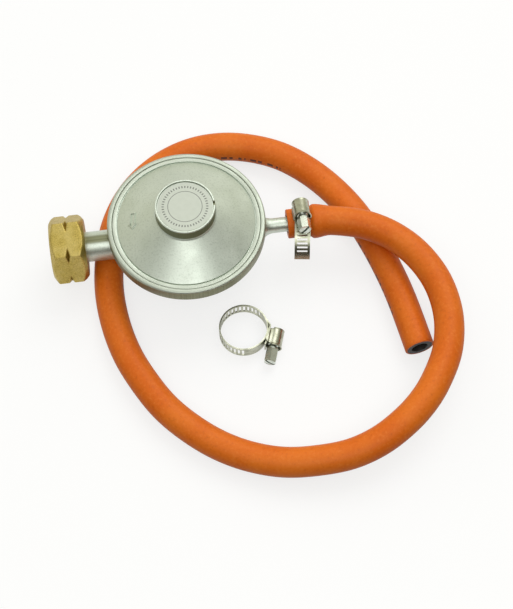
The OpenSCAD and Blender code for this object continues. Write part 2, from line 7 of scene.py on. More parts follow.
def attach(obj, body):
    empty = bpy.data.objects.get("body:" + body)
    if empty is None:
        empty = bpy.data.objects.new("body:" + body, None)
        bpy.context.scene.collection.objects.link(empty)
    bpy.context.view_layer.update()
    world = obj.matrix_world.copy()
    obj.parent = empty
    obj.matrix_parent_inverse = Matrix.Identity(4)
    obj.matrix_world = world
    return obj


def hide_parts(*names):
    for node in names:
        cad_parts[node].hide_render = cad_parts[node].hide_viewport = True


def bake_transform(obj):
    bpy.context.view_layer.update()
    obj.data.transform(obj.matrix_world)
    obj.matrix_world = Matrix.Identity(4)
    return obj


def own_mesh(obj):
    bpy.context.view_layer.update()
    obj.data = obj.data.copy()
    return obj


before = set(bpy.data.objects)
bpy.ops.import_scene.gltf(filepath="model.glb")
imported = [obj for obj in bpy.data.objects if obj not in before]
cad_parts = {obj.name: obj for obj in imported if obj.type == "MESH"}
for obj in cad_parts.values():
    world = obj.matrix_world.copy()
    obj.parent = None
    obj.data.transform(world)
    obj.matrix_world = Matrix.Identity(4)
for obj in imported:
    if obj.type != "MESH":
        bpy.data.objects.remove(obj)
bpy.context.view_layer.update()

# camera above the table, tilted steeply down
camera = {
    "place": (-0.01166, -0.35357, 0.6941),
    "target": (0.02938, -0.03791, 0.015),
    "lens": 90.8,
    "sensor": 36,
    "clip": (0.05, 60),
}


def aimed(thing, place, target):
    thing.location = place
    towards = Vector(target) - Vector(place)
    thing.rotation_euler = towards.to_track_quat("-Z", "Y").to_euler()
    bpy.context.scene.collection.objects.link(thing)


def makeCamera():
    data = bpy.data.cameras.new("tableCamera")
    data.lens = camera["lens"]
    data.sensor_width = camera["sensor"]
    data.clip_start, data.clip_end = camera["clip"]
    view = bpy.data.objects.new("tableCamera", data)
    aimed(view, camera["place"], camera["target"])
    bpy.context.scene.camera = view


makeCamera()
print("camera ready")


def colour(hexText):
    parts = [int(hexText[i:i + 2], 16) / 255 for i in (1, 3, 5)]
    linear = [c / 12.92 if c <= 0.04045 else ((c + 0.055) / 1.055) ** 2.4 for c in parts]
    return (*linear, 1.0)


# adds a node with its settings, fills or links its inputs, and gives back one output
def addNode(tree, kind, inputs=None, output=0, **settings):
    node = tree.nodes.new("ShaderNode" + kind)
    for name, value in settings.items():
        setattr(node, name, value)
    for socket, value in (inputs or {}).items():
        if isinstance(value, bpy.types.NodeSocket):
            tree.links.new(value, node.inputs[socket])
        else:
            node.inputs[socket].default_value = value
    return node.outputs[output] if node.outputs else node


def newMaterial(name):
    material = bpy.data.materials.new(name)
    material.use_nodes = True
    material.node_tree.nodes.clear()
    return material, material.node_tree


# all shapes below are worked out in millimetres and scaled by makePiece
def joinRings(rings, loop=False):
    points, starts, faces = [], [], []
    for ring in rings:
        starts.append(len(points))
        points += ring
    pairs = list(zip(range(len(rings) - 1), range(1, len(rings))))
    if loop:
        pairs.append((len(rings) - 1, 0))
    for a, b in pairs:
        countA, countB = len(rings[a]), len(rings[b])
        for k in range(max(countA, countB)):
            n = (k + 1) % max(countA, countB)
            if countA == 1:
                faces.append((starts[a], starts[b] + k, starts[b] + n))
            elif countB == 1:
                faces.append((starts[a] + n, starts[a] + k, starts[b]))
            else:
                faces.append((starts[a] + k, starts[b] + k, starts[b] + n, starts[a] + n))
    return points, faces


def makePiece(name, shape, material, body, sharp=None, place=None, uv=None, second=None):
    points, faces = shape
    mesh = bpy.data.meshes.new(name)
    mesh.from_pydata([(place @ Vector(p) if place else Vector(p)) / 1000 for p in points], [],
                     faces)
    work = bmesh.new()
    work.from_mesh(mesh)
    if uv:
        layer = work.loops.layers.uv.new("alongAndRound")
        work.verts.index_update()
        for face in work.faces:
            spots = [uv[corner.vert.index] for corner in face.loops]
            wraps = max(spot[1] for spot in spots) - min(spot[1] for spot in spots) > 0.5
            for corner, (along, turn) in zip(face.loops, spots):
                corner[layer].uv = (along, turn + 1 if wraps and turn < 0.5 else turn)
    bmesh.ops.recalc_face_normals(work, faces=work.faces)
    work.to_mesh(mesh)
    work.free()
    mesh.polygons.foreach_set("use_smooth", [True] * len(mesh.polygons))
    if sharp:
        mesh.set_sharp_from_angle(angle=math.radians(sharp))
    mesh.materials.append(material)
    if second:  # another material on a run of the faces
        mesh.materials.append(second[0])
        for i in second[1]:
            mesh.polygons[i].material_index = 1
    piece = bpy.data.objects.new(name, mesh)
    bpy.context.scene.collection.objects.link(piece)
    if body:
        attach(piece, body)
    return piece


# turns rows of (radius, along) about an axis; a row may be a function of the angle
def turned(rows, place, segments=128, loop=False):
    rings = []
    for row in rows:
        if not callable(row) and row[0] < 1e-6:
            rings.append([place(0, 0, row[1])])
            continue
        angles = [math.tau * k / segments for k in range(segments)]
        spots = [(row(angle) if callable(row) else row) for angle in angles]
        rings.append([place(r, angle, along) for angle, (r, along) in zip(angles, spots)])
    return joinRings(rings, loop)


# turns a plan of (a, b, radius) corners into points with round corners
def roundCorners(plan, steps=5, closed=False):
    count = len(plan)
    points = []
    for i, (a, b, radius) in enumerate(plan):
        here = Vector((a, b))
        before = Vector(plan[i - 1][:2]) - here
        after = Vector(plan[(i + 1) % count][:2]) - here
        atEnd = not closed and i in (0, count - 1)
        if radius == 0 or atEnd or before.angle(after) > math.pi - 0.02:
            points.append((a, b))
            continue
        half = before.angle(after) / 2
        reach = min(radius / math.tan(half), before.length * 0.48, after.length * 0.48)
        toMiddle = reach / math.cos(half)
        middle = here + (before.normalized() + after.normalized()).normalized() * toMiddle
        first = here + before.normalized() * reach - middle
        last = here + after.normalized() * reach - middle
        whole = math.atan2(first.x * last.y - first.y * last.x, first.dot(last))
        for step in range(steps + 1):
            spot = middle + Matrix.Rotation(whole * step / steps, 2) @ first
            points.append((spot.x, spot.y))
    return points


def smoothStep(low, high, value):
    share = min(1.0, max(0.0, (value - low) / (high - low)))
    return share * share * (3 - 2 * share)


rubber = {"base": "#1E1E1D", "dust": "#343331", "dustSize": 0.909, "roughness": (0.5, 0.66)}


# moulded nitrile rubber of the seals and the diaphragm: black, dull and dusty
def blackNitrile():
    material, tree = newMaterial("blackNitrileSeal")
    place = addNode(tree, "TexCoord", output="Object")
    dusty = addNode(tree, "TexNoise", {"Vector": place, "Scale": 1000 / rubber["dustSize"],
                                       "Detail": 3})
    tone = addNode(tree, "Mix", {0: dusty, 6: colour(rubber["base"]), 7: colour(rubber["dust"])},
                   2, data_type="RGBA")
    low, high = rubber["roughness"]
    rough = addNode(tree, "MapRange", {"Value": dusty, "From Min": 0.3, "From Max": 0.7,
                                       "To Min": low, "To Max": high})
    bump = addNode(tree, "Bump", {"Height": dusty, "Distance": 0.00002, "Strength": 0.4})
    shader = addNode(tree, "BsdfPrincipled", {"Base Color": tone, "Roughness": rough, "IOR": 1.5,
                                              "Normal": bump})
    addNode(tree, "OutputMaterial", {"Surface": shader})
    return material


blackRubber = blackNitrile()

# gas hose: it follows the solid's route, drawn in by up to 2.3 mm on the raised run
hoseRoute = [
    (49.5, 0, 23), (61.5, 0, 23), (72.5, -1, 23), (87, -5, 23), (100, -13, 23),
    (110.7, -24.7, 22.5), (118, -40.5, 22), (120, -58.5, 21.5), (116.4, -76, 21),
    (108.1, -91, 20.5), (99.9, -100.8, 19.5), (90.1, -108.7, 18), (77.7, -115.6, 16),
    (63.5, -119.5, 13.5), (47.5, -120, 11.5), (31.5, -118, 9.5), (16, -112.5, 8),
    (2, -104.5, 7.5), (-10.5, -94, 7.5), (-21, -82, 7.5), (-29.5, -67.5, 7.5),
    (-36, -52.5, 7.5), (-40, -36, 7.5), (-41.5, -18.5, 7.5), (-40, -1, 7.5), (-36, 16, 7.5),
    (-28.5, 31, 7.5), (-18, 43, 7.5), (-5.5, 51.5, 7.5), (8.5, 56.5, 7.5), (23.5, 57.5, 7.5),
    (38.5, 54.5, 7.5), (53, 48, 7.5), (66, 37.5, 7.5), (77, 24.5, 7.5), (86, 9.5, 7.5),
    (92.5, -7, 7.5), (97.5, -23.5, 7.5), (101.5, -41, 7.5),
]
hose = {
    "radius": 7.25, "bore": 4.0, "liner": 6.3, "sides": 56, "edge": 0.3, "ease": (0.25, 0.15),
    "fineEnd": 27.3, "fineStep": 0.75, "step": 2.2, "pathPieces": 8,
    "endTurn": -81, "endLength": 27,
    "squeezed": 7.2, "bandFrom": 3.25, "bandTo": 10.75, "bandEase": 1.2,
    "bulge": 8.5, "bulgeAt": 13.2, "bulgeEnd": 22.5,
    "nozzleBore": 4.45, "nozzleEnd": 21.5, "nozzleEase": 3,
    "print": "#120C08", "printTurns": (-0.1, -0.022), "printAlong": (0.14, 0.3),
    "printHeight": 1.8, "dash": 3.4, "phrase": 0.11, "phraseShare": 0.62,
    "base": "#DE6810", "light": "#E7761D", "dust": "#F2984A", "dark": "#AE4A0F", "sheen": 0.22,
    "cloudSize": 22, "dustSize": 1.6, "fineSize": 0.5, "roughness": (0.42, 0.56),
}


# extruded nitrile gas hose: orange and slightly waxy, with fine dust and printed dashes
def orangeHoseRubber():
    material, tree = newMaterial("orangeNitrileHose")
    place = addNode(tree, "TexCoord", output="Object")
    cloudy = addNode(tree, "TexNoise", {"Vector": place, "Scale": 1000 / hose["cloudSize"],
                                        "Detail": 3})
    dusty = addNode(tree, "TexNoise", {"Vector": place, "Scale": 1000 / hose["dustSize"],
                                       "Detail": 3, "Roughness": 0.6})
    fine = addNode(tree, "TexNoise", {"Vector": place, "Scale": 1000 / hose["fineSize"]})
    tone = colour(hose["base"])
    for pattern, low, high, most, shade in ((cloudy, 0.35, 0.65, 1, "light"),
                                            (dusty, 0.52, 0.8, 0.35, "dust"),
                                            (dusty, 0.44, 0.2, 0.4, "dark")):
        share = addNode(tree, "MapRange", {"Value": pattern, "From Min": low, "From Max": high,
                                           "To Max": most})
        tone = addNode(tree, "Mix", {0: share, 6: tone, 7: colour(hose[shade])}, 2,
                       data_type="RGBA")
    # the print is a row of plain dashes: u runs along the hose in metres, v once round it
    uv = addNode(tree, "UVMap")
    along = addNode(tree, "SeparateXYZ", {0: uv}, "X")
    turn = addNode(tree, "SeparateXYZ", {0: uv}, "Y")
    middle = addNode(tree, "MapRange", {
        "Value": along, "From Min": hose["printAlong"][0], "From Max": hose["printAlong"][1],
        "To Min": hose["printTurns"][0], "To Max": hose["printTurns"][1]})
    apart = addNode(tree, "Math", {0: turn, 1: middle}, operation="SUBTRACT")
    apart = addNode(tree, "Math", {0: apart, 1: 0.5, 2: -0.5}, operation="WRAP")
    apart = addNode(tree, "Math", {0: apart}, operation="ABSOLUTE")
    half = hose["printHeight"] / 2 / (math.tau * hose["radius"])
    inRow = addNode(tree, "Math", {0: apart, 1: half}, operation="LESS_THAN")
    broken = addNode(tree, "TexNoise", {"W": along, "Scale": 1000 / hose["dash"], "Detail": 0},
                     noise_dimensions="1D")
    inDash = addNode(tree, "Math", {0: broken, 1: 0.5}, operation="GREATER_THAN")
    spot = addNode(tree, "Math", {0: along, 1: hose["phrase"]}, operation="DIVIDE")
    spot = addNode(tree, "Math", {0: spot}, operation="FRACT")
    inPhrase = addNode(tree, "Math", {0: spot, 1: hose["phraseShare"]}, operation="LESS_THAN")
    inDash = addNode(tree, "Math", {0: inDash, 1: inPhrase}, operation="MULTIPLY")
    printed = addNode(tree, "Math", {0: inRow, 1: inDash}, operation="MULTIPLY")
    faded = addNode(tree, "Math", {0: printed, 1: 0.85}, operation="MULTIPLY")
    tone = addNode(tree, "Mix", {0: faded, 6: tone, 7: colour(hose["print"])}, 2,
                   data_type="RGBA")
    low, high = hose["roughness"]
    rough = addNode(tree, "MapRange", {"Value": dusty, "From Min": 0.3, "From Max": 0.7,
                                       "To Min": low, "To Max": high})
    bump = addNode(tree, "Bump", {"Height": fine, "Distance": 0.00003, "Strength": 0.4})
    shader = addNode(tree, "BsdfPrincipled", {"Base Color": tone, "Roughness": rough, "IOR": 1.52,
                                              "Specular IOR Level": hose["sheen"],
                                              "Normal": bump})
    addNode(tree, "OutputMaterial", {"Surface": shader})
    return material


def smoothPath(route, pieces):
    knots = [2 * route[0] - route[1], *route, 2 * route[-1] - route[-2]]
    points = []
    for a, b, c, d in zip(knots, knots[1:], knots[2:], knots[3:]):
        for step in range(pieces):
            t = step / pieces
            points.append(0.5 * (2 * b + (c - a) * t + (2 * a - 5 * b + 4 * c - d) * t * t
                                 + (3 * b - a - 3 * c + d) * t ** 3))
    return points + [route[-1]]


def hoseRadius(s):
    if s <= hose["bandTo"]:
        under = smoothStep(hose["bandFrom"] - hose["bandEase"], hose["bandFrom"], s)
        return hose["radius"] + (hose["squeezed"] - hose["radius"]) * under
    rise = smoothStep(hose["bandTo"], hose["bulgeAt"], s)
    fall = smoothStep(hose["bulgeAt"], hose["bulgeEnd"], s)
    top = hose["bulge"] + (hose["radius"] - hose["bulge"]) * fall
    return hose["squeezed"] + (top - hose["squeezed"]) * rise


def boreRadius(s):
    return hose["nozzleBore"] + (hose["bore"] - hose["nozzleBore"]) * smoothStep(
        hose["nozzleEnd"], hose["nozzleEnd"] + hose["nozzleEase"], s)


def makeHose():
    turn = math.radians(hose["endTurn"])
    last = Vector(hoseRoute[-1])
    end = last + Vector((math.cos(turn), math.sin(turn), 0)) * hose["endLength"]
    path = smoothPath([Vector(p) for p in hoseRoute] + [end], hose["pathPieces"])
    lengths = [0.0]
    for a, b in zip(path, path[1:]):
        lengths.append(lengths[-1] + (b - a).length)
    whole = lengths[-1]
    frames, up = [], Vector((0, 0, 1))
    for i in range(len(path)):
        ahead = (path[min(i + 1, len(path) - 1)] - path[max(i - 1, 0)]).normalized()
        up = (up - ahead * up.dot(ahead)).normalized()
        frames.append((path[i], ahead.cross(up), up))
    # stations along it: close together over the clamp and the swelling, then wider apart
    edge, middle = hose["edge"], hose["fineEnd"]
    fine = round((middle - edge) / hose["fineStep"])
    wide = round((whole - edge - middle) / hose["step"])
    stops = [edge + (middle - edge) * i / fine for i in range(fine)]
    stops += [middle + (whole - edge - middle) * i / wide for i in range(wide + 1)]
    outside = [(s, hoseRadius(s)) for s in stops]
    inside = [(s, boreRadius(s)) for s in reversed(stops)]
    outerEase, innerEase = hose["ease"]
    stations = [(0, hose["radius"] - outerEase), *outside, (whole, hose["radius"] - outerEase),
                (whole, hose["liner"]), (whole, hose["bore"] + innerEase), *inside,
                (0, hose["nozzleBore"] + innerEase)]
    liner = range((len(stops) + 2) * hose["sides"], (2 * len(stops) + 4) * hose["sides"])
    rings, uv = [], []
    for s, radius in stations:
        i = max(k for k in range(len(path) - 1) if lengths[k] <= s + 1e-9)
        share = (s - lengths[i]) / (lengths[i + 1] - lengths[i])
        middle, side, high = [a.lerp(b, share) for a, b in zip(frames[i], frames[i + 1])]
        ring = []
        for k in range(hose["sides"]):
            angle = math.tau * k / hose["sides"]
            ring.append(middle + radius * (math.cos(angle) * side + math.sin(angle) * high))
            uv.append((s / 1000, k / hose["sides"]))
        rings.append(ring)
    piece = makePiece("gasHose", joinRings(rings, loop=True), orangeHoseRubber(), "regulator",
                      sharp=50, uv=uv, second=(blackRubber, liner))
    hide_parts("hose")
    print("hose made,", round(whole), "mm long")


makeHose()

zinc = {
    "light": "#D9E0D5", "dark": "#C8D1C5", "speck": "#9FA99B", "metallic": 0.85,
    "roughness": (0.36, 0.47), "cloudSize": 9, "gritSize": 0.8, "gritDepth": 0.06,
    # the two wall colours are painted shade on the side walls of the rim and the boss
    "shadedWallLight": "#95977A", "shadedWallDark": "#696B4E", "wallEase": 0.4,
    "rimWall": (29.9, 36.7), "bossWall": (46.9, 52.9), "linesAround": 300, "lineDepth": 0.08,
    # the ring colour is painted shade on the flat ring round the cone
    "ring": "#B6BDB0", "ringFrom": 34.2, "ringLow": 35.5,
}


# die-cast zinc under a thin silver lacquer: pale and satin, with a fine sandy skin. The side
# walls of the rim and the boss get painted shade, a darker tone, with upright lines from their
# drawing and turning; the flat ring round the cone gets painted shade too.
def castZinc(name, wall=None):
    material, tree = newMaterial(name)
    place = addNode(tree, "TexCoord", output="Object")
    cloudy = addNode(tree, "TexNoise", {"Vector": place, "Scale": 1000 / zinc["cloudSize"],
                                        "Detail": 2})
    # real grit is finer, drawn as coarse as it shows
    grit = addNode(tree, "TexNoise", {"Vector": place, "Scale": 1000 / zinc["gritSize"],
                                      "Detail": 2, "Roughness": 0.6})
    tone = addNode(tree, "Mix", {0: cloudy, 6: colour(zinc["dark"]), 7: colour(zinc["light"])}, 2,
                   data_type="RGBA")
    share = addNode(tree, "MapRange", {"Value": grit, "From Min": 0.5, "From Max": 0.72,
                                       "To Max": 0.4})
    tone = addNode(tree, "Mix", {0: share, 6: tone, 7: colour(zinc["speck"])}, 2,
                   data_type="RGBA")
    normal = addNode(tree, "Bump", {"Height": grit, "Distance": zinc["gritDepth"] / 1000,
                                    "Strength": 0.6})
    if wall:
        x, y, z = [addNode(tree, "SeparateXYZ", {0: place}, axis) for axis in "XYZ"]
        around = addNode(tree, "Math", {0: y, 1: x}, operation="ARCTAN2")
        lines = addNode(tree, "TexNoise", {"W": around, "Scale": zinc["linesAround"] / math.tau,
                                           "Detail": 2}, noise_dimensions="1D")
        # painted shade: the flat ring round the cone is coloured darker
        across = addNode(tree, "Math", {0: y, 1: y}, operation="MULTIPLY")
        across = addNode(tree, "Math", {0: x, 1: x, 2: across}, operation="MULTIPLY_ADD")
        outer = addNode(tree, "Math", {0: across, 1: (zinc["ringFrom"] / 1000) ** 2},
                        operation="GREATER_THAN")
        upper = addNode(tree, "Math", {0: z, 1: zinc["ringLow"] / 1000},
                        operation="GREATER_THAN")
        shadedRing = addNode(tree, "Math", {0: outer, 1: upper}, operation="MULTIPLY")
        tone = addNode(tree, "Mix", {0: shadedRing, 6: tone, 7: colour(zinc["ring"])}, 2,
                       data_type="RGBA")
        low, high, ease = [height / 1000 for height in (*wall, zinc["wallEase"])]
        above = addNode(tree, "MapRange", {"Value": z, "From Min": low, "From Max": low + ease})
        below = addNode(tree, "MapRange", {"Value": z, "From Min": high, "From Max": high - ease})
        onWall = addNode(tree, "Math", {0: above, 1: below}, operation="MULTIPLY")
        # painted shade: the side walls are coloured darker, streaked with the real drawing lines
        shadedWallLines = addNode(tree, "Mix", {0: lines, 6: colour(zinc["shadedWallDark"]),
                                      7: colour(zinc["shadedWallLight"])}, 2, data_type="RGBA")
        tone = addNode(tree, "Mix", {0: onWall, 6: tone, 7: shadedWallLines}, 2, data_type="RGBA")
        height = addNode(tree, "Math", {0: lines, 1: onWall}, operation="MULTIPLY")
        normal = addNode(tree, "Bump", {"Height": height, "Distance": zinc["lineDepth"] / 1000,
                                        "Normal": normal})
    low, high = zinc["roughness"]
    rough = addNode(tree, "MapRange", {"Value": cloudy, "From Min": 0.3, "From Max": 0.7,
                                       "To Min": low, "To Max": high})
    shader = addNode(tree, "BsdfPrincipled", {"Base Color": tone, "Roughness": rough,
                                              "Metallic": zinc["metallic"], "Normal": normal})
    addNode(tree, "OutputMaterial", {"Surface": shader})
    return material


def upright(radius, angle, height):
    return (radius * math.cos(angle), radius * math.sin(angle), height)


gasAxis = 23  # its height over the table


def alongGas(radius, angle, x):
    return (x, radius * math.sin(angle), gasAxis - radius * math.cos(angle))


body = {
    "footRadius": 19, "bowlRadius": 36.5, "rimRadius": 38.5, "rimLow": 29.8, "rimTop": 37.2,
    "lipRadius": 36.1, "flangeTop": 36.0, "flangeRadius": 37.1, "seat": 33.4, "seatRadius": 33.2,
    "floor": 2.2, "bulge": 0.8, "bowlWall": 2, "bowlSteps": 24, "stepGrowth": 1.5,
    "neckRadius": 7.4, "neckEnd": -53.1, "neckMiddle": -41, "neckRoot": -33,
    "neckBore": 6.2, "neckBoreEnd": -46,
    "nozzleRadius": 3.7, "nozzleBore": 2.6, "nozzleTip": 70.5, "nozzleBoreEnd": 60,
    "flare": 2.6, "flareRoot": 31.5, "flareFrom": 37.7, "flareStretch": 1.9,
    "barbs": 3, "barbRadius": 4.4, "barbLength": 5, "barbStep": 0.8,
}


def makeBody(finish):
    bowl = []
    for i in range(1, body["bowlSteps"]):
        t = (i / body["bowlSteps"]) ** body["stepGrowth"]
        wide = body["footRadius"] + (body["bowlRadius"] - body["footRadius"]) * t ** body["bulge"]
        bowl.append((wide, body["rimLow"] * t))
    outside = roundCorners([
        (0, 0, 0), (body["footRadius"], 0, 0.8), (*bowl[0], 0)]) + bowl[1:] + roundCorners([
            (*bowl[-1], 0), (body["bowlRadius"], body["rimLow"], 0.5),
            (body["rimRadius"], body["rimLow"], 0.8), (body["rimRadius"], body["rimTop"], 1.0),
            (body["lipRadius"], body["rimTop"], 0.35), (body["lipRadius"], body["flangeTop"], 0),
            (body["flangeRadius"], body["flangeTop"], 0), (body["flangeRadius"], body["seat"], 0),
            (body["seatRadius"], body["seat"], 0)])[1:]
    inside = [(min(body["seatRadius"], wide - body["bowlWall"]),
               max(body["floor"], height + 0.4)) for wide, height in reversed(bowl)]
    casing = makePiece("casing", turned(outside + inside + [(0, body["floor"])], upright, 192),
                       finish, "regulator", sharp=35)
    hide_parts("lower_body")

    bore, end = body["neckBore"], body["neckEnd"]
    neck = [(0, body["neckBoreEnd"]), (bore, body["neckBoreEnd"]), (bore, end)]
    neck += roundCorners([(bore, end, 0), (body["neckRadius"], end, 0.35),
                          (body["neckRadius"], body["neckMiddle"], 0)])[1:]
    neck += [(body["neckRadius"], body["neckRoot"]), (0, body["neckRoot"])]
    makePiece("inletNeck", turned(neck, alongGas, 96), finish, "regulator", sharp=35)

    radius, flare, root = body["nozzleRadius"], body["flare"], body["flareRoot"]
    nozzle = [(0, root), (radius + flare, root), (radius + flare, body["flareFrom"])]
    for turn in range(15, 91, 15):
        angle = math.radians(turn)
        nozzle.append((radius + flare * (1 - math.sin(angle)), body["flareFrom"]
                       + flare * body["flareStretch"] * (1 - math.cos(angle))))
    tip, bore = body["nozzleTip"], body["nozzleBore"]
    for i in range(body["barbs"], 0, -1):
        start = tip - i * body["barbLength"]
        nozzle += [(radius, start), (body["barbRadius"], start + body["barbStep"])]
    nozzle += [(radius - 0.5, tip), (bore, tip), (bore, body["nozzleBoreEnd"]),
               (0, body["nozzleBoreEnd"])]
    makePiece("outletNozzle", turned(nozzle, alongGas, 72), finish, "regulator",
              sharp=35)


cover = {
    "bossRadius": 14.5, "bossTop": 53.3, "bossLow": 46.4, "bossFillet": 1.4, "capRadius": 13.5,
    "ledge": 51.3, "holeRadius": 11.5, "coneRadius": 34.0, "coneLow": 36.4, "grooveWide": 0.4,
    "grooveDeep": 0.5, "beadRadius": 36.0, "beadTop": 37.0, "flangeRadius": 37.0,
    "flangeTop": 36.0, "flangeLow": 34.2, "roofRadius": 33.2, "roofLow": 34.6, "roofTop": 43.9,
    "notchHalf": 0.9,
}
arrow = {"place": (-25.2, 6.3), "turn": -8, "length": 8.8, "half": 1.3, "head": 2.0, "neck": 2.4,
         "stroke": 0.55, "raised": 0.55, "sunk": 0.3, "perSide": 12}


def coneHeight(radius):
    share = (radius - cover["bossRadius"]) / (cover["coneRadius"] - cover["bossRadius"])
    return cover["bossLow"] + (cover["coneLow"] - cover["bossLow"]) * share


def makeCover(finish):
    coneEnd, groove = cover["coneRadius"], cover["coneLow"] - cover["grooveDeep"]
    brink = coneEnd - cover["grooveWide"] - 0.2
    rows = roundCorners([
        (cover["capRadius"], cover["ledge"], 0), (cover["capRadius"], cover["bossTop"], 0.25),
        (cover["bossRadius"], cover["bossTop"], 0.45),
        (cover["bossRadius"], cover["bossLow"], cover["bossFillet"]),
        (brink, coneHeight(brink), 0.1), (coneEnd - cover["grooveWide"], groove, 0.05),
        (coneEnd, groove, 0.05), (coneEnd, cover["beadTop"] - 0.1, 0.15),
        (cover["beadRadius"], cover["beadTop"], 0.3),
        (cover["beadRadius"], cover["flangeTop"], 0.1),
        (cover["flangeRadius"], cover["flangeTop"], 0),
        (cover["flangeRadius"], cover["flangeLow"], 0),
        (cover["roofRadius"], cover["flangeLow"], 0), (cover["roofRadius"], cover["roofLow"], 0),
        (cover["capRadius"], cover["roofTop"], 0), (cover["holeRadius"], cover["roofTop"], 0),
        (cover["holeRadius"], cover["ledge"], 0)], closed=True)

    # breather notch through the boss's wall, on the hose's side
    def notched(radius, height):
        def row(angle):
            aside = abs(math.remainder(angle, math.tau)) * radius
            return radius, cover["ledge"] + 0.1 if aside < cover["notchHalf"] else height
        return row

    rows = [notched(r, z) if z > cover["ledge"] + 0.5 else (r, z) for r, z in rows]
    shell = makePiece("coverShell", turned(rows, upright, 216, loop=True), finish, "regulator",
                      sharp=35)
    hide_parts("top_cover")

    # raised outline of an arrow on the cone, pointing along the flow to the table's front
    def outline(grow, lift):
        half, head = arrow["half"] + grow, arrow["head"] + grow
        barb = arrow["neck"] - arrow["length"] - grow
        corners = [(-half, grow), (half, grow), (half, barb), (head, barb),
                   (0, -arrow["length"] - 1.5 * grow), (-head, barb), (-half, barb)]
        ring = []
        for a, b in zip(corners, corners[1:] + corners[:1]):
            for step in range(arrow["perSide"]):
                spot = Vector(a).lerp(Vector(b), step / arrow["perSide"])
                spot = Matrix.Rotation(math.radians(arrow["turn"]), 2) @ spot
                x, y = spot.x + arrow["place"][0], spot.y + arrow["place"][1]
                ring.append((x, y, coneHeight(math.hypot(x, y)) + lift))
        return ring

    stroke, raised, sunk = arrow["stroke"], arrow["raised"], arrow["sunk"]
    rings = [outline(0.03, -sunk), outline(0, raised * 0.6), outline(-0.1, raised),
             outline(0.1 - stroke, raised), outline(-stroke, raised * 0.6),
             outline(-stroke - 0.03, -sunk)]
    makePiece("flowArrow", joinRings(rings, loop=True), finish, "regulator", sharp=60)


makeBody(castZinc("castZincBody", zinc["rimWall"]))
makeCover(castZinc("castZincCover", zinc["bossWall"]))
print("casing and cover made")

nut = {
    "front": -66.9, "length": 17, "flat": 15.0, "cornerTurn": 40, "ease": 0.2,
    "frontFlat": 13.4, "frontSlope": 0.6, "rearFlat": 13.8, "rearSlope": 0.75,
    "notchAt": 8.5, "notchDeep": 2.2, "notchSlope": 1.9,
    "thread": 10.0, "threadDepth": 0.9, "pitch": 1.814, "threadStart": 0.9, "threadEnd": 9.4,
    "threadStep": 0.2, "relief": 14, "bore": 7.45, "steps": 68,
    "base": "#C2AC5E", "dark": "#8A7737", "light": "#D0BD7A", "roughness": (0.36, 0.52),
    "speckSize": 0.6, "cloudSize": 6, "speckDepth": 0.06,
}


# forged brass turned at its ends: warm dull gold, with a finely pitted skin
def forgedBrass(name, base, dark, light, roughness, speckSize, cloudSize, speckDepth):
    material, tree = newMaterial(name)
    place = addNode(tree, "TexCoord", output="Object")
    speckle = addNode(tree, "TexNoise", {"Vector": place, "Scale": 1000 / speckSize, "Detail": 4,
                                         "Roughness": 0.75})
    cloudy = addNode(tree, "TexNoise", {"Vector": place, "Scale": 1000 / cloudSize, "Detail": 2})
    tone = colour(base)
    for pattern, low, high, most, shade in ((speckle, 0.42, 0.68, 0.85, dark),
                                            (cloudy, 0.4, 0.65, 0.45, light)):
        share = addNode(tree, "MapRange", {"Value": pattern, "From Min": low, "From Max": high,
                                           "To Max": most})
        tone = addNode(tree, "Mix", {0: share, 6: tone, 7: colour(shade)}, 2, data_type="RGBA")
    rough = addNode(tree, "MapRange", {"Value": speckle, "From Min": 0.3, "From Max": 0.7,
                                       "To Min": roughness[0], "To Max": roughness[1]})
    bump = addNode(tree, "Bump", {"Height": speckle, "Distance": speckDepth / 1000,
                                  "Strength": 0.6})
    shader = addNode(tree, "BsdfPrincipled", {"Base Color": tone, "Metallic": 1.0,
                                              "Roughness": rough, "Normal": bump})
    addNode(tree, "OutputMaterial", {"Surface": shader})
    return material


def makeNut():
    def outside(t):
        def row(angle):
            aside = abs((math.degrees(angle) - nut["cornerTurn"]) % 60 - 30)
            flat = nut["flat"] / math.cos(math.radians(aside))
            notch = nut["flat"] / math.cos(math.pi / 6) - nut["notchDeep"] + abs(
                t - nut["notchAt"]) * nut["notchSlope"]
            limits = [flat, nut["frontFlat"] + t / nut["frontSlope"],
                      nut["rearFlat"] + (nut["length"] - t) / nut["rearSlope"],
                      notch / math.cos(math.radians(30 - aside))]
            least = min(limits)  # the least of them, with its corners eased
            eased = sum(math.exp((least - limit) / nut["ease"]) for limit in limits)
            return least - nut["ease"] * math.log(eased), nut["front"] + t
        return row

    def threaded(t):
        def row(angle):
            turn = (t / nut["pitch"] + angle / math.tau) % 1
            return nut["thread"] + nut["threadDepth"] * abs(2 * turn - 1), nut["front"] + t
        return row

    front, length, relief = nut["front"], nut["length"], nut["front"] + nut["relief"]
    deep, step = nut["thread"] + nut["threadDepth"], nut["threadStep"]
    rows = [outside(length * i / nut["steps"]) for i in range(nut["steps"] + 1)]
    rows += [(nut["bore"], front + length), (nut["bore"], relief), (deep, relief),
             (deep, front + nut["threadEnd"] + step)]
    count = int((nut["threadEnd"] - nut["threadStart"]) / step) + 1
    rows += [threaded(nut["threadEnd"] - step * i) for i in range(count)]
    rows.append((deep, front))
    finish = forgedBrass("forgedBrassNut", nut["base"], nut["dark"], nut["light"],
                         nut["roughness"], nut["speckSize"], nut["cloudSize"], nut["speckDepth"])
    piece = makePiece("bottleNut", turned(rows, alongGas, 360, loop=True), finish, "nut",
                      sharp=32)
    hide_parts("inlet_nut")
    print("nut made")


makeNut()

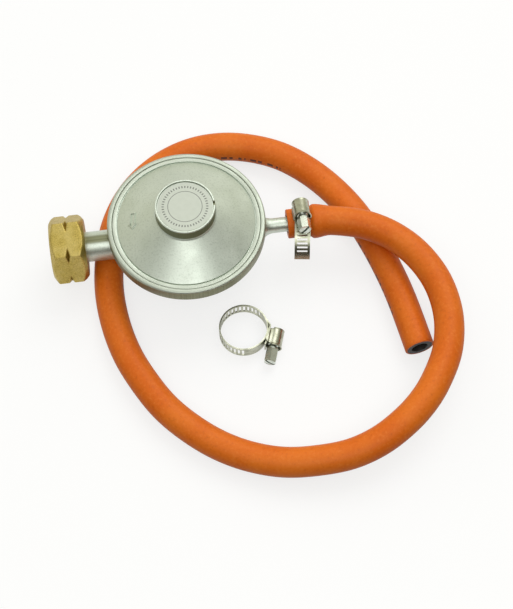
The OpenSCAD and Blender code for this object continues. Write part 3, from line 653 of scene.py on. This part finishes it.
clamp = {
    "band": 0.6, "wormRadius": 2.7, "coreRadius": 2.0, "wormGap": 0.35, "screwOffset": 1.9,
    "housingLength": 9.2, "barrelRadius": 4.1, "halfWidth": 4.4, "wall": 0.5, "waist": 3.85,
    "mouths": (0.3, 0.12), "pitch": 2.0, "wormEnd": -7.5, "wormStep": 0.125,
    "headAcross": 5.5, "headLength": 7.4, "dome": 0.35, "chamfers": (0.7, 0.55),
    "slotTurn": -40, "slotHalf": 0.5, "slotDeep": 1.6,
    "plate": "#B8B9A6", "plateDark": "#8E907A", "screw": "#DCE2D8", "screwDark": "#BCC3B6",
    "roughness": (0.22, 0.36), "cloudSize": 3.5, "lineSize": 0.35,
}
fittedRing, spareRing = 7.3, 11.5
fittedPlace = (Matrix.Translation((56.5, 0, gasAxis)) @ Matrix.Rotation(math.radians(-12), 4, "X")
               @ Matrix.Rotation(math.radians(-90), 4, "Y"))
sparePlace = Matrix.Translation((22, -46, 4.4)) @ Matrix.Rotation(math.radians(-18), 4, "Z")


# bright zinc plate on pressed or cold-headed steel: silvery, with clear soft reflections
def brightZinc(name, base, dark):
    material, tree = newMaterial(name)
    place = addNode(tree, "TexCoord", output="Object")
    cloudy = addNode(tree, "TexNoise", {"Vector": place, "Scale": 1000 / clamp["cloudSize"],
                                        "Detail": 2})
    lines = addNode(tree, "TexNoise", {"Vector": place, "Scale": 1000 / clamp["lineSize"]})
    share = addNode(tree, "MapRange", {"Value": cloudy, "From Min": 0.4, "From Max": 0.65,
                                       "To Max": 0.7})
    tone = addNode(tree, "Mix", {0: share, 6: colour(base), 7: colour(dark)}, 2, data_type="RGBA")
    low, high = clamp["roughness"]
    rough = addNode(tree, "MapRange", {"Value": cloudy, "From Min": 0.3, "From Max": 0.7,
                                       "To Min": low, "To Max": high})
    bump = addNode(tree, "Bump", {"Height": lines, "Distance": 0.000015, "Strength": 0.4})
    shader = addNode(tree, "BsdfPrincipled", {"Base Color": tone, "Metallic": 1.0,
                                              "Roughness": rough, "Normal": bump})
    addNode(tree, "OutputMaterial", {"Surface": shader})
    return material


# pressed housing: an arched shell over the worm whose two feet grip the band's edges
def housingShape(ringRadius):
    screwAt = ringRadius + 2 * clamp["band"] + clamp["wormGap"] + clamp["wormRadius"]
    middle = -clamp["screwOffset"]
    half = clamp["housingLength"] / 2

    def section(y, inner):
        wall = clamp["wall"] if inner else 0
        mouth = clamp["mouths"][0] * (1 - smoothStep(0.15, 1.1, y - middle + half))
        mouth += clamp["mouths"][1] * (1 - smoothStep(0.1, 0.6, half - (y - middle)))
        arch = clamp["barrelRadius"] + mouth - wall
        lift = smoothStep(half - 1.7, half - 0.3, abs(y - middle))
        foot = ringRadius + 0.3 + (screwAt - 1.2 - ringRadius) * lift
        wide = clamp["halfWidth"] - wall
        waist = clamp["waist"] - wall
        arc = [(screwAt + arch * math.cos(math.radians(a)), arch * math.sin(math.radians(a)))
               for a in range(-98, 99, 7)]
        spread = waist + (wide - waist) * (1 - lift)
        legs = [(max(foot, x), spread if x < ringRadius + 1.6 else waist + (spread - waist) * s)
                for x, s in ((ringRadius + 0.3, 1), (ringRadius + 1.0, 1), (ringRadius + 1.5, 0.9),
                             (ringRadius + 1.9, 0.35), (ringRadius + 2.4, 0))]
        low = [(x, -z) for x, z in legs]
        high = [(x, z) for x, z in reversed(legs)]
        return [(x, y, z) for x, z in low + arc + high]

    stops = [middle + half * math.sin(math.pi / 2 * (i / 12 - 1)) for i in range(25)]
    rings = [section(y, False) + list(reversed(section(y, True))) for y in stops]
    points, faces = joinRings(rings)
    size = len(rings[0])
    for start in (0, len(points) - size):
        for k in range(size // 2 - 1):
            faces.append((start + k, start + k + 1, start + size - 2 - k, start + size - 1 - k))
    return points, faces


# worm screw: threaded core, neck, collar, and a slotted hexagon head with a domed end
def screwShape(ringRadius):
    screwAt = ringRadius + 2 * clamp["band"] + clamp["wormGap"] + clamp["wormRadius"]
    mouth = -clamp["screwOffset"] - clamp["housingLength"] / 2
    flat, long, dome = clamp["headAcross"] / 2, clamp["headLength"], clamp["dome"]
    rearSlope, frontSlope = clamp["chamfers"]

    def place(radius, angle, along):
        return (screwAt + radius * math.cos(angle), mouth - along, radius * math.sin(angle))

    def worm(t):
        def row(angle):
            turn = (t / clamp["pitch"] + angle / math.tau) % 1
            tooth = 1 - smoothStep(0.28, 0.42, abs(turn - 0.5))
            ends = (smoothStep(clamp["wormEnd"], clamp["wormEnd"] + 0.6, t)
                    * (1 - smoothStep(-1.0, -0.5, t)))
            return clamp["coreRadius"] + (clamp["wormRadius"] - clamp["coreRadius"]
                                          ) * tooth * ends, t
        return row

    def hexagon(t):
        def row(angle):
            aside = abs(math.degrees(angle) % 60 - 30)
            corner = flat / math.cos(math.radians(30 - aside))
            back = flat - 0.15 + (t - 1) / rearSlope
            front = flat - dome + (long + 1 - t) / frontSlope
            return min(corner, back, front), t
        return row

    def endFace(share):
        def row(angle):
            aside = abs(math.degrees(angle) % 60 - 30)
            radius = min(flat / math.cos(math.radians(30 - aside)), flat) * share
            height = long + 1 - dome * share ** 2
            across = abs(radius * math.sin(angle - math.radians(clamp["slotTurn"])))
            return radius, height - (clamp["slotDeep"] if across < clamp["slotHalf"] else 0)
        return row

    start, step = clamp["wormEnd"], clamp["wormStep"]
    rows = [(0, start - 0.1), (1.7, start - 0.1)]
    rows += [worm(start + step * i) for i in range(round(-start / step) + 1)]
    rows += [(clamp["coreRadius"], 0.4), (flat - 0.1, 0.45), (flat, 0.55), (flat, 1.1),
             (flat - 0.1, 1.2)]
    rows += [hexagon(1.2 + (long - 0.45) * i / 40) for i in range(41)]
    rows += [endFace(1 - i / 22) for i in range(22)] + [(0, long + 1 - clamp["slotDeep"])]
    return turned(rows, place, 144)


def makeClamp(name, ringRadius, place, bodyName, screwBody, nodes):
    shell = makePiece(name + "Housing", housingShape(ringRadius), plateFinish, bodyName,
                      sharp=40, place=place)
    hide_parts(nodes[0])
    screw = makePiece(name + "Screw", screwShape(ringRadius), screwFinish, screwBody,
                      sharp=30, place=place)
    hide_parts(nodes[1])


plateFinish = brightZinc("brightZincBand", clamp["plate"], clamp["plateDark"])
screwFinish = brightZinc("brightZincScrew", clamp["screw"], clamp["screwDark"])
makeClamp("hoseClamp", fittedRing, fittedPlace, "regulator", "hose_clamp_screw",
          ("clamp_housing", "clamp_screw"))
makeClamp("spareClamp", spareRing, sparePlace, "spare_clamp", "spare_screw",
          ("spare_clamp_housing", "spare_clamp_screw"))
print("clamps made")

label = {"paper": "#CDD3C7", "shade": "#C1C8BB", "ink": "#3A3C36", "ringAt": 8.2,
         "ringWidth": 0.3, "ticksAt": 10.6, "ticksLong": 1.1, "ticks": 48, "tickShare": 0.4,
         "cloudSize": 2.5, "roughness": 0.34, "coat": 0.25}


# printed polyester film: off-white and satin, with a plain ring and ticks in dark grey
def printedFilm():
    material, tree = newMaterial("whitePolyesterLabel")
    place = addNode(tree, "TexCoord", output="Object")
    x, y = [addNode(tree, "SeparateXYZ", {0: place}, axis) for axis in "XY"]
    flat = addNode(tree, "CombineXYZ", {"X": x, "Y": y})
    out = addNode(tree, "VectorMath", {0: flat}, "Value", operation="LENGTH")
    around = addNode(tree, "Math", {0: y, 1: x}, operation="ARCTAN2")
    turn = addNode(tree, "Math", {0: around, 1: label["ticks"] / math.tau}, operation="MULTIPLY")
    part = addNode(tree, "Math", {0: turn}, operation="FRACT")
    tick = addNode(tree, "Math", {0: part, 1: label["tickShare"]}, operation="LESS_THAN")
    rows = []
    for radius, width in ((label["ticksAt"], label["ticksLong"]),
                          (label["ringAt"], label["ringWidth"])):
        off = addNode(tree, "Math", {0: out, 1: radius / 1000}, operation="SUBTRACT")
        off = addNode(tree, "Math", {0: off}, operation="ABSOLUTE")
        rows.append(addNode(tree, "Math", {0: off, 1: width / 2000}, operation="LESS_THAN"))
    ticks = addNode(tree, "Math", {0: tick, 1: rows[0]}, operation="MULTIPLY")
    inked = addNode(tree, "Math", {0: ticks, 1: rows[1]}, operation="MAXIMUM")
    faded = addNode(tree, "Math", {0: inked, 1: 0.8}, operation="MULTIPLY")
    cloudy = addNode(tree, "TexNoise", {"Vector": place, "Scale": 1000 / label["cloudSize"],
                                        "Detail": 2})
    paper = addNode(tree, "Mix", {0: cloudy, 6: colour(label["paper"]),
                                  7: colour(label["shade"])}, 2, data_type="RGBA")
    tone = addNode(tree, "Mix", {0: faded, 6: paper, 7: colour(label["ink"])}, 2,
                   data_type="RGBA")
    bump = addNode(tree, "Bump", {"Height": cloudy, "Distance": 0.00001, "Strength": 0.3})
    shader = addNode(tree, "BsdfPrincipled", {"Base Color": tone, "Roughness": label["roughness"],
                                              "Coat Weight": label["coat"], "Normal": bump})
    addNode(tree, "OutputMaterial", {"Surface": shader})
    return material


spring = {
    "radius": 9.0, "wire": 0.8, "low": 35.0, "top": 47.3, "turns": 5, "closed": 0.36,
    "perTurn": 40, "sides": 12, "lift": 2.5,
    "base": "#8D9196", "light": "#A7ABAE", "cloudSize": 2, "roughness": (0.26, 0.38),
}


# spring steel, plain and a little oily: grey and smooth
def springSteel():
    material, tree = newMaterial("springSteelOiled")
    place = addNode(tree, "TexCoord", output="Object")
    cloudy = addNode(tree, "TexNoise", {"Vector": place, "Scale": 1000 / spring["cloudSize"],
                                        "Detail": 3})
    tone = addNode(tree, "Mix", {0: cloudy, 6: colour(spring["base"]), 7: colour(spring["light"])},
                   2, data_type="RGBA")
    low, high = spring["roughness"]
    rough = addNode(tree, "MapRange", {"Value": cloudy, "From Min": 0.3, "From Max": 0.7,
                                       "To Min": low, "To Max": high})
    bump = addNode(tree, "Bump", {"Height": cloudy, "Distance": 0.00001, "Strength": 0.4})
    shader = addNode(tree, "BsdfPrincipled", {"Base Color": tone, "Metallic": 1.0,
                                              "Roughness": rough, "Normal": bump})
    addNode(tree, "OutputMaterial", {"Surface": shader})
    return material


# coil spring under the adjuster
def makeSpring():
    wire, count = spring["wire"], spring["turns"] * spring["perTurn"]
    low, rise = spring["low"] + wire, spring["top"] - spring["low"] - 2 * wire
    rings = []
    for i in range(count + 1):
        turn = i / spring["perTurn"]
        share = (turn - spring["closed"]) / (spring["turns"] - 2 * spring["closed"])
        height = low + rise * min(1, max(0, share))
        angle = math.tau * turn
        ring = []
        for k in range(spring["sides"]):
            around = math.tau * k / spring["sides"]
            reach = spring["radius"] + wire * math.cos(around)
            ring.append(upright(reach, angle, height + wire * math.sin(around)))
        rings.append(ring)
    ends = [[tuple(sum(p[a] for p in ring) / len(ring) for a in range(3))]
            for ring in (rings[0], rings[-1])]
    piece = makePiece("pressureSpring", joinRings([ends[0], *rings, ends[1]]), steel, "regulator",
                      sharp=50)
    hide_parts("main_spring")
    height = spring["top"] - spring["low"]
    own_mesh(piece)


sheet = {
    "hole": 2, "inner": 22, "edge": 37, "low": 33.4, "thick": 0.8,
    "foldAt": 28.2, "foldHalf": 4.2, "foldDrop": 2.1, "foldStep": 15,
    "wedges": 12, "perWedge": 5, "still": 32, "lifted": 23,
}


# diaphragm: the middle rides with its plate, and the fold lies in wedges between it and the
# clamped edge
def makeDiaphragm():
    low, high, half = sheet["low"], sheet["low"] + sheet["thick"], sheet["thick"] / 2

    def fold(across, height, drop):
        turns = [math.radians(turn) for turn in range(180, -1, -sheet["foldStep"])]
        return [(sheet["foldAt"] + across * math.cos(turn), height - drop * math.sin(turn))
                for turn in turns]

    under = fold(sheet["foldHalf"] + half, low, sheet["foldDrop"] + half / 2)
    above = fold(sheet["foldHalf"] - half, high, sheet["foldDrop"] - half / 2)
    profile = [(sheet["inner"], low), *under, (sheet["edge"], low), (sheet["edge"], high),
               *reversed(above), (sheet["inner"], high)]
    middle = makePiece("diaphragmMiddle", turned(
        [(sheet["hole"], low), (sheet["inner"], low), (sheet["inner"], high),
         (sheet["hole"], high)], upright, 120, loop=True), blackRubber, "diaphragm_set",
        sharp=40)
    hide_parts("diaphragm")
    wide, count = math.tau / sheet["wedges"], len(profile)
    for i in range(sheet["wedges"]):
        rings = [[upright(radius, wide * (i + k / sheet["perWedge"]), height)
                  for radius, height in profile] for k in range(sheet["perWedge"] + 1)]
        points, faces = joinRings(rings)
        faces += [tuple(range(count)), tuple(range(len(points) - count, len(points)))]
        wedge = makePiece(f"diaphragmFold{i + 1}", (points, faces), blackRubber, None,
                          sharp=40)
        along = wide * (i + 0.5)
        start, end = [upright(sheet[key] / 1000, along, low / 1000) for key in ("still", "lifted")]
        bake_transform(wedge)
        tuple(start)
        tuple(end)
    print("diaphragm made")


# finishes of the solids that are shown as they are
def finishSolids():
    turnedBrass = forgedBrass("turnedBrassFittings", "#C2A659", "#A98E45", "#CDB878",
                              (0.2, 0.32), 0.8, 5, 0.02)
    finishes = {
        "boss_cap": castZinc("pressedCapZinc"), "rating_disc": printedFilm(),
        "spring_adjuster": turnedBrass, "diaphragm_plate": steel, "diaphragm_washer": steel,
        "diaphragm_post": turnedBrass, "post_nut": screwFinish, "lever": steel,
        "lever_pin": steel, "valve_slide": turnedBrass, "valve_pad": blackRubber,
        "orifice_jet": turnedBrass, "inlet_nipple": turnedBrass, "inlet_seal": blackRubber,
        "inlet_filter": turnedBrass, "clamp_band": plateFinish, "spare_clamp_band": plateFinish,
    }
    for node, finish in finishes.items():
        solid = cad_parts[node]
        solid.data.materials.clear()
        solid.data.materials.append(finish)
    for node, width in (("boss_cap", 0.35), ("clamp_band", 0.09), ("spare_clamp_band", 0.09)):
        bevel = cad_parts[node].modifiers.new("easedEdges", "BEVEL")
        bevel.width = width / 1000
        bevel.segments = 2
        bevel.limit_method = "ANGLE"
        bevel.angle_limit = math.radians(50)
    print("finishes set on", len(finishes), "solids")


steel = springSteel()
makeSpring()
makeDiaphragm()
finishSolids()

studio = {
    "floorSize": 12, "floor": "#FFFFFF", "bounce": "#8E8C84", "glow": 0.74,
    "top": 0.86, "far": 0.88, "near": 0.04, "rise": (0.5, 0.86), "back": 0.85, "lean": -0.15,
    "topTint": "#FBFCF6", "lowTint": "#F2F0DC", "aim": (0.03, -0.03, 0),
}


def makeFloor():
    half = studio["floorSize"] / 2
    mesh = bpy.data.meshes.new("table")
    mesh.from_pydata([(-half, -half, 0), (half, -half, 0), (half, half, 0), (-half, half, 0)], [],
                     [(0, 1, 2, 3)])
    material, tree = newMaterial("whiteTablePaper")
    # white to the eye, to reflections and through openings; grey to the light it throws back
    seen = addNode(tree, "LightPath", output="Is Camera Ray")
    for ray in ("Is Glossy Ray", "Is Transmission Ray"):
        other = addNode(tree, "LightPath", output=ray)
        seen = addNode(tree, "Math", {0: seen, 1: other}, operation="MAXIMUM")
    tone = addNode(tree, "Mix", {0: seen, 6: colour(studio["bounce"]),
                                 7: colour(studio["floor"])}, 2, data_type="RGBA")
    paper = addNode(tree, "BsdfDiffuse", {"Color": tone})
    white = addNode(tree, "Emission", {"Color": colour(studio["floor"]), "Strength": 1.0})
    share = addNode(tree, "Math", {0: seen, 1: studio["glow"]}, operation="MULTIPLY")
    both = addNode(tree, "MixShader", {0: share, 1: paper, 2: white})
    addNode(tree, "OutputMaterial", {"Surface": both})
    mesh.materials.append(material)
    table = bpy.data.objects.new("table", mesh)
    bpy.context.scene.collection.objects.link(table)


# the room: brightest overhead, darker low down towards the front
def makeRoom():
    world = bpy.data.worlds.new("softRoom")
    world.use_nodes = True
    tree = world.node_tree
    tree.nodes.clear()
    way = addNode(tree, "TexCoord", output="Generated")
    x, y, z = [addNode(tree, "SeparateXYZ", {0: way}, axis) for axis in "XYZ"]
    side = addNode(tree, "Math", {0: x, 1: studio["lean"]}, operation="MULTIPLY")
    back = addNode(tree, "Math", {0: y, 1: studio["back"], 2: side}, operation="MULTIPLY_ADD")
    low = addNode(tree, "MapRange", {"Value": back, "From Min": -0.6, "From Max": 0.6,
                                     "To Min": studio["near"], "To Max": studio["far"]},
                  interpolation_type="SMOOTHSTEP")
    high = addNode(tree, "MapRange", {"Value": z, "From Min": studio["rise"][0],
                                      "From Max": studio["rise"][1]},
                   interpolation_type="SMOOTHSTEP")
    strength = addNode(tree, "Mix", {0: high, 2: low, 3: studio["top"]}, 0, data_type="FLOAT")
    tint = addNode(tree, "Mix", {0: high, 6: colour(studio["lowTint"]),
                                 7: colour(studio["topTint"])}, 2, data_type="RGBA")
    light = addNode(tree, "Background", {"Color": tint, "Strength": strength})
    addNode(tree, "OutputWorld", {"Surface": light})
    bpy.context.scene.world = world


def makeLamp(name, place, size, power):
    data = bpy.data.lights.new(name, "AREA")
    data.shape = "DISK"
    data.size = size
    data.energy = power
    aimed(bpy.data.objects.new(name, data), place, studio["aim"])


makeFloor()
makeRoom()
makeLamp("frontSoftbox", (-0.1, -1.0, 1.8), 1.2, 7)
makeLamp("backSoftbox", (0.7, 1.0, 1.7), 1.5, 12)
bpy.context.scene.view_settings.view_transform = "Standard"
print("table and lights ready")
